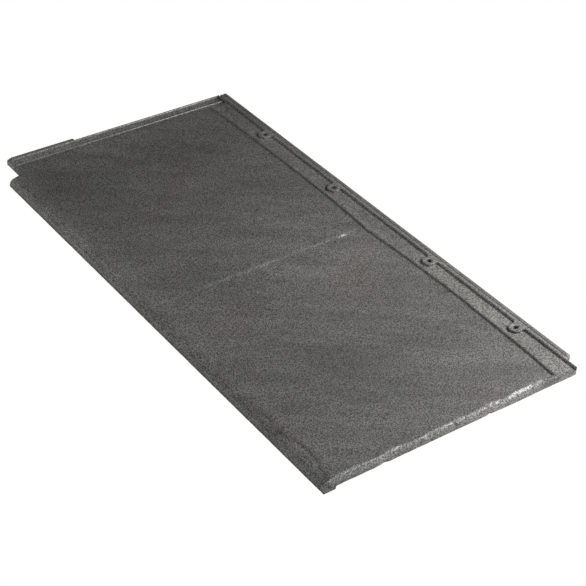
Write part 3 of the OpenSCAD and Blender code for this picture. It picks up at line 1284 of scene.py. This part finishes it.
@dataclass(frozen=True)
class MouldedFinish:
    """Plain moulded surface of the underlap, the nail strip, the ridge and the underside."""

    name: str = "moulded_grey"
    dark: tuple[float, float, float] = (0.092, 0.0908, 0.0855)
    light: tuple[float, float, float] = (0.114, 0.1125, 0.106)
    # light grey of the painted highlights along the ribs' right edges
    painted_highlight_grey: tuple[float, float, float] = (0.32, 0.32, 0.31)
    speckle: tuple[float, float] = (0.32, 1.68)
    grain_depth: float = 0.00028
    roughness: tuple[float, float] = (0.44, 0.56)

    def material(self, effects: Effects) -> Any:
        """Builds the material.

        Args:
            effects: The shared node groups.

        Returns:
            The material.
        """
        made = bpy.data.materials.new(self.name)
        made.use_nodes = True
        kit = TreeKit(made.node_tree)
        shader = made.node_tree.nodes["Principled BSDF"]
        place = kit.add("ShaderNodeTexCoord").outputs["Object"]
        grain = kit.add("ShaderNodeGroup", {"Vector": place, "Coarse Scale": 700.0, "Fine Scale": 1500.0},
                        node_tree=effects.grain)
        streaks = kit.add(
            "ShaderNodeGroup", {"Vector": place, "Scale": 22.0, "Seed": 8.0},
            node_tree=effects.streaks
        )
        painted_highlight = kit.add("ShaderNodeAttribute", attribute_name="painted_highlight").outputs["Fac"]
        bright = kit.add(
            "ShaderNodeGroup", {"Vector": place, "Mask": painted_highlight, "Scale": 180.0},
            node_tree=effects.rub
        )
        colour = kit.mix(streaks.outputs["Tone"], (*self.dark, 1.0), (*self.light, 1.0))
        # painted highlights: where the highlight mask is high the colour is mixed towards a light grey
        colour = kit.mix(
            kit.math("MULTIPLY", bright.outputs["Amount"], 0.6), colour, (*self.painted_highlight_grey, 1.0)
        )
        # broad tone patches with painted light and shade scale the speckle's tone
        tone_and_painted_light = kit.add("ShaderNodeAttribute", attribute_name="tone_and_painted_light").outputs["Fac"]
        shade = kit.math(
            "MULTIPLY", kit.ramp(grain.outputs["Tone"], 0.0, 1.0, *self.speckle), tone_and_painted_light
        )
        colour = kit.mix(
            1.0, colour, kit.add(
                "ShaderNodeCombineColor", {0: shade, 1: shade, 2: shade}
            ).outputs[0], "MULTIPLY"
        )
        kit.put(shader.inputs["Base Color"], colour)
        low, high = self.roughness
        kit.put(shader.inputs["Roughness"], kit.ramp(grain.outputs["Tone"], 0.0, 1.0, high, low))
        bump = kit.add(
            "ShaderNodeBump",
            {"Height": grain.outputs["Height"], "Strength": 0.6, "Distance": self.grain_depth}
        )
        kit.put(shader.inputs["Normal"], bump.outputs[0])
        shader.inputs["Specular IOR Level"].default_value = 0.45
        return made


# ---------------------------------------------------------------- the tile


@dataclass(frozen=True)
class Patch:
    """A broad soft patch where the colour is lighter or darker, for tone or for painted light or shade, in
    millimetres.
    """

    x: float
    y: float
    reach_x: float
    reach_y: float
    strength: float
    slant: float = 0.0


@dataclass
class SlateTile:
    """The whole tile: the parts fused into one shell and dressed in its two finishes."""

    sizes: TileSizes = SIZES
    plate: SlatePlate = field(default_factory=SlatePlate)
    relief: RivenRelief = field(default_factory=RivenRelief)
    ridge: HeadRidge = field(default_factory=HeadRidge)
    ribs: WeatherRibs = field(default_factory=WeatherRibs)
    nails: NailBosses = field(default_factory=NailBosses)
    slate: SlateFinish = SlateFinish()
    moulded: MouldedFinish = MouldedFinish()
    sharp_angle: float = 38.0
    cutter_past: float = 3.0
    cutter_depth: float = 5.0
    corner_slack: float = 0.03
    corner_points: int = 13
    patches: tuple[Patch, ...] = (
        Patch(340.0, 190.0, 58.0, 80.0, 0.20), Patch(30.0, 100.0, 14.0, 160.0, 0.14),
        Patch(510.0, 120.0, 70.0, 130.0, -0.11), Patch(92.0, 140.0, 36.0, 170.0, -0.08, 0.1),
        Patch(260.0, 18.0, 95.0, 14.0, 0.24), Patch(196.0, 240.0, 14.0, 30.0, -0.10, 0.5),
        # painted shade on the nail strip, darkest at its left end: these four and Patch(22, 284) below
        Patch(50.0, 286.0, 60.0, 12.0, -0.28), Patch(330.0, 284.0, 90.0, 9.0, -0.26),
        Patch(190.0, 284.0, 80.0, 9.0, -0.18), Patch(590.0, 284.0, 60.0, 9.0, -0.12),
        # painted light on the tail face, which faces away from the key: these four
        Patch(32.0, 10.0, 30.0, 18.0, 0.36), Patch(150.0, 7.0, 120.0, 8.0, 0.26),
        Patch(600.0, 5.0, 50.0, 6.0, 0.25), Patch(430.0, 5.0, 110.0, 6.0, 0.16),
        # painted shade on the outer side of the outer weather rib
        Patch(3.8, 200.0, 0.9, 160.0, -0.7),
        Patch(626.5, 120.0, 1.6, 400.0, -0.35), Patch(313.0, 300.5, 900.0, 2.2, -0.18),
        # the first is painted shade at the nail strip's left end
        Patch(22.0, 284.0, 20.0, 9.0, -0.2), Patch(600.0, 200.0, 20.0, 70.0, -0.08),
    )

    def build(self) -> Any:
        """Builds the finished piece.

        Returns:
            The tile's object, at the origin.
        """
        effects = Effects()
        slate, moulded = self.slate.material(effects), self.moulded.material(effects)
        plate = self.relief.mesh(self.plate.mesh(), slate)
        LOG.info("plate: %d faces", len(plate.polygons))
        clearance = (self.nails.mesh(NailPart.CLEARANCE, moulded), "DIFFERENCE")
        steps = [(mesh, "UNION") for mesh in self.ridge.meshes()]
        steps += [(mesh, "UNION") for mesh in self.ribs.meshes(moulded)]
        steps.append((self.nails.mesh(NailPart.WEB, moulded), "UNION"))
        # the ridge and the ribs may fill part of the clearance, so it is cut after them
        steps.append(clearance)
        steps.append((self.nails.mesh(NailPart.BOSS, moulded), "UNION"))
        steps.append((self.nails.mesh(NailPart.SEAT, moulded), "DIFFERENCE"))
        steps += [(mesh, "DIFFERENCE") for mesh in self.trims()]
        mesh = fused("slate_tile_panel", plate, steps)
        mesh.materials.clear()
        mesh.materials.append(slate)
        mesh.materials.append(moulded)
        self.dress(mesh)
        tile = bpy.data.objects.new("slate_tile_panel", mesh)
        bpy.context.collection.objects.link(tile)
        self.report(mesh)
        return tile

    def trims(self) -> list[Any]:
        """Cutters for the space under the overhanging right edge and the head's round corner."""
        s, r = self.sizes, self.sizes.head_radius
        low = -self.cutter_depth
        right, back = s.length + self.cutter_past, s.plate_back + self.cutter_past
        under = np.array([(s.foot_end, low), (right, low), (right, back), (s.foot_end, back)])
        turns = np.linspace(0.0, 0.5 * math.pi, self.corner_points)
        middle = (s.length - r - self.corner_slack, s.plate_back - r - self.corner_slack)
        arc = np.column_stack([middle[0] + r * np.cos(turns), middle[1] + r * np.sin(turns)])
        corner = np.vstack([[(right, middle[1])], arc, [(middle[0], back), (right, back)]])
        return [
            prism("overhang_cut", under, low, s.overhang_underside),
            prism("corner_cut", corner, low, s.ridge_top + self.cutter_depth),
        ]

    def dress(self, mesh: Any) -> None:
        """Gives each face its finish, each point its dressing, painted highlight and tone masks, and shades the
        shell.

        Args:
            mesh: The fused mesh.
        """
        s, plate = self.sizes, self.plate
        faces, points = len(mesh.polygons), len(mesh.vertices)
        centre = np.zeros(faces * 3)
        mesh.polygons.foreach_get("center", centre)
        centre = centre.reshape(-1, 3) / MM + np.array(s.origin())
        x, y, z = centre.T
        on_slate = (x > 18.2) & (y < plate.strip_line(x) + 0.12) & (z > s.underside + 0.05)
        on_slate |= (y < 14.5) & (x > s.nose_start - 0.5)
        mesh.polygons.foreach_set("material_index", np.where(on_slate, 0, 1).astype(np.int32))
        mesh.polygons.foreach_set("use_smooth", np.ones(faces, dtype=bool))
        mesh.set_sharp_from_angle(angle=math.radians(self.sharp_angle))
        spot = np.zeros(points * 3)
        mesh.vertices.foreach_get("co", spot)
        spot = spot.reshape(-1, 3) / MM + np.array(s.origin())
        masks = {
            "dressing": self.dressing(*spot.T),
            "painted_highlight": self.painted_highlight(*spot.T),
            "tone_and_painted_light": self.tone_and_painted_light(*spot.T),
        }
        for name, values in masks.items():
            layer = mesh.attributes.get(name) or mesh.attributes.new(name, "FLOAT", "POINT")
            layer.data.foreach_set("value", np.clip(values, 0.0, 2.0).astype(np.float32))

    def tone_and_painted_light(self, x: Array, y: Array, z: Array) -> Array:
        """How much lighter or darker than the rest the colour is in its broad patches, some of which are painted
        light or shade, and along the tail's crack, which is painted shade.

        Args:
            x: X of each point.
            y: Y of each point.
            z: Height of each point.

        Returns:
            The factor, near 1.
        """
        s, factor = self.sizes, np.ones_like(x)
        for patch in self.patches:
            slant = x - patch.x - patch.slant * (y - patch.y)
            factor += patch.strength * np.exp(
                -((slant / patch.reach_x) ** 2) - ((y - patch.y) / patch.reach_y) ** 2
            )
        # painted shade: the colour is darkened along the crack at the foot of the flaked ledge
        crack = np.exp(-(((y - self.plate.flake_line(x) - 0.6) / 2.2) ** 2)) * smooth(
            x, 470.0, 520.0
        )
        crack = crack * (0.6 + 0.5 * self.plate.chip.at(x, 9.0, 9.0))
        return factor * (1.0 - 0.34 * crack * (z > s.underside))

    def dressing(self, x: Array, y: Array, z: Array) -> Array:
        """Where the slates' edges are dressed, and so lighter and rougher.

        Args:
            x: X of each point.
            y: Y of each point.
            z: Height of each point.

        Returns:
            The mask, from 0 to 1.
        """
        plate = self.plate
        reach = 15.0 + 7.0 * plate.wave.at(x, 33.0, 40.0) - 5.0 * smooth(x, 200.0, 420.0)
        band = (1.0 - smooth(y / reach, 0.45, 1.15)) * (
            1.0 - 0.45 * smooth(x, 180.0, 420.0)
        ) * (z > 2.0)
        edge = smooth(x - plate.inner_edge(y), -0.6, 1.4) * (
            1.0 - 0.5 * smooth(x, 621.5, 626.0)
        ) * (y < 272.0)
        return np.maximum(0.62 * band * smooth(x, 24.0, 40.0), 0.8 * edge)

    def painted_highlight(self, x: Array, y: Array, z: Array) -> Array:
        """Where highlights are painted: on the right edge's break, in the joint and along the ribs' right edges.

        Args:
            x: X of each point.
            y: Y of each point.
            z: Height of each point.

        Returns:
            The mask, from 0 to 1.
        """
        s, plate = self.sizes, self.plate
        # painted highlight along the break of the right edge's dressing
        rim = np.exp(-(((x - plate.inner_edge(y) - 2.2) / 2.4) ** 2)) * (y < 266.0)
        lit = 0.25 + 0.3 * smooth(y, 60.0, 220.0) + 0.45 * plate.chip.at(y, 4.0, 7.0)
        rim = rim * np.clip(lit + 0.3 * plate.fine.at(x, y, 2.6), 0.0, 1.0)
        # painted highlight in the joint, brightest in a spot near its head end
        joint = np.exp(-(((x - s.joint_x + 2.4) / 2.0) ** 2)) * (
            z < s.plate_top - 0.05
        ) * (y < 271.0)
        spot = np.exp(-(((y - 244.5) / 6.5) ** 2))
        dashes = np.clip(plate.chip.at(y, 31.0, 7.0) - 0.2, 0.0, 1.0) * smooth(y, 90.0, 200.0)
        joint = joint * (0.08 + 0.5 * dashes + 0.75 * spot) * (1.0 - smooth(y, 250.0, 258.0))
        # painted highlights along the ribs' right edges, brighter towards the head
        ribs = np.zeros_like(x)
        for edge, low, high in ((5.75, 0.55, 1.0), (18.05, 0.25, 0.85)):
            line = np.exp(-(((x - edge) / 0.45) ** 2)) * (z > s.plate_top + 1.2) * (x < 18.6)
            ribs = np.maximum(
                ribs, line * (low + (high - low) * smooth(y, 60.0, 260.0)) * (y > 30.0)
            )
        return np.maximum(np.maximum(rim, joint), ribs) * (z > s.underside + 1.0)

    def report(self, mesh: Any) -> None:
        """Logs the shell's triangle count, its open edges and its volume.

        Args:
            mesh: The finished mesh.
        """
        shell = bmesh.new()
        shell.from_mesh(mesh)
        loose = sum(1 for edge in shell.edges if len(edge.link_faces) != 2)
        volume = shell.calc_volume(signed=True) * 1e6
        shell.free()
        triangles = sum(len(face.vertices) - 2 for face in mesh.polygons)
        LOG.info("tile: %d triangles, %d open edges, %.0f cm3", triangles, loose, volume)


# ---------------------------------------------------------------- the studio


@dataclass
class Studio:
    """The pale floor, the soft lights and the camera."""

    key_power: float = 15.0
    front_power: float = 8.0
    fill: float = 0.13
    lens: float = 100.17
    sensor_width: float = 36.0
    camera_place: tuple[float, float, float] = (1.1255, -0.7936, 0.9695)
    azimuth: float = -36.4237
    elevation: float = 36.0599
    roll: float = 2.2364
    floor_half: float = 6.0
    floor_grey: float = 0.82

    def camera(self) -> Any:
        """Makes the camera that looks down on the tile from its tail-right side."""
        data = bpy.data.cameras.new("camera")
        data.lens = self.lens
        data.sensor_width = self.sensor_width
        camera = bpy.data.objects.new("camera", data)
        bpy.context.collection.objects.link(camera)
        camera.matrix_world = Matrix.Translation(self.camera_place) @ self.camera_turn()
        bpy.context.scene.camera = camera
        return camera

    def camera_turn(self) -> Matrix:
        """Turns the camera to its azimuth and elevation round the tile, then rolls it.

        Returns:
            The camera's rotation.
        """
        azimuth, elevation, roll = (
            math.radians(angle) for angle in (self.azimuth, self.elevation, self.roll)
        )
        flat = math.cos(elevation)
        back = Vector((flat * math.cos(azimuth), flat * math.sin(azimuth), math.sin(elevation)))
        level_right = Vector((-math.sin(azimuth), math.cos(azimuth), 0.0))
        level_up = back.cross(level_right)
        right = math.cos(roll) * level_right + math.sin(roll) * level_up
        up = math.cos(roll) * level_up - math.sin(roll) * level_right
        return Matrix((right, up, back)).transposed().to_4x4()

    def area(
        self, name: str, place: Vector, target: Vector, size: tuple[float, float], power: float
    ) -> None:
        """Adds a rectangular soft light.

        Args:
            name: Name of the light.
            place: Where it stands.
            target: Point that it faces.
            size: Width and height.
            power: Power in watts.
        """
        data = bpy.data.lights.new(name, "AREA")
        data.shape = "RECTANGLE"
        data.size, data.size_y = size
        data.energy = power
        light = bpy.data.objects.new(name, data)
        bpy.context.collection.objects.link(light)
        light.location = place
        light.rotation_mode = "QUATERNION"
        light.rotation_quaternion = (target - place).to_track_quat("-Z", "Y")

    def floor(self) -> None:
        """Lays the plain pale floor, seen evenly white and see-through from below."""
        mesh = bpy.data.meshes.new("floor")
        half = self.floor_half
        mesh.from_pydata(
            [(-half, -half, 0), (half, -half, 0), (half, half, 0), (
                -half, half, 0
            )], [], [(0, 1, 2, 3)]
        )
        floor = bpy.data.objects.new("floor", mesh)
        bpy.context.collection.objects.link(floor)
        paint = bpy.data.materials.new("studio_white")
        paint.use_nodes = True
        kit = TreeKit(paint.node_tree)
        paint.node_tree.nodes.clear()
        matt = kit.add("ShaderNodeBsdfDiffuse", {"Color": (self.floor_grey, self.floor_grey, self.floor_grey, 1.0)})
        seen = kit.add("ShaderNodeEmission", {"Color": (1.0, 1.0, 1.0, 1.0), "Strength": 1.0})
        clear = kit.add("ShaderNodeBsdfTransparent")
        path = kit.add("ShaderNodeLightPath").outputs["Is Camera Ray"]
        under = kit.add("ShaderNodeNewGeometry").outputs["Backfacing"]
        lit = kit.add("ShaderNodeMixShader", {0: path, 1: matt.outputs[0], 2: seen.outputs[0]})
        both = kit.add("ShaderNodeMixShader", {0: under, 1: lit.outputs[0], 2: clear.outputs[0]})
        kit.add("ShaderNodeOutputMaterial", {"Surface": both.outputs[0]})
        mesh.materials.append(paint)

    def world(self) -> None:
        """Fills the room with even light, and is seen as plain white."""
        world = bpy.data.worlds.new("studio")
        bpy.context.scene.world = world
        world.use_nodes = True
        kit = TreeKit(world.node_tree)
        world.node_tree.nodes.clear()
        soft = kit.add(
            "ShaderNodeBackground", {"Color": (1.0, 1.0, 1.0, 1.0), "Strength": self.fill}
        )
        seen = kit.add("ShaderNodeBackground", {"Color": (1.0, 1.0, 1.0, 1.0), "Strength": 1.0})
        path = kit.add("ShaderNodeLightPath").outputs["Is Camera Ray"]
        both = kit.add("ShaderNodeMixShader", {0: path, 1: soft.outputs[0], 2: seen.outputs[0]})
        kit.add("ShaderNodeOutputWorld", {"Surface": both.outputs[0]})

    def build(self) -> None:
        """Sets the whole studio up."""
        bpy.context.scene.view_settings.view_transform = "Standard"
        self.camera()
        self.floor()
        self.world()
        self.area(
            "key", Vector((0.48, 0.50, 0.50)), Vector((0.1, 0.0, 0.0)), (0.42, 0.42), self.key_power
        )
        self.area(
            "front", Vector((-0.25, -1.1, 0.42)), Vector(
                (0.0, 0.0, 0.0)
            ), (1.2, 0.5), self.front_power
        )


def main() -> None:
    """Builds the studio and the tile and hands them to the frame."""
    logging.basicConfig(level=logging.INFO, format="%(name)s: %(message)s")
    Studio().build()
    tile = SlateTile().build()
    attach(tile, BODY)
    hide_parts(NODE)
    bpy.context.view_layer.update()


if __name__ == "__main__":
    main()
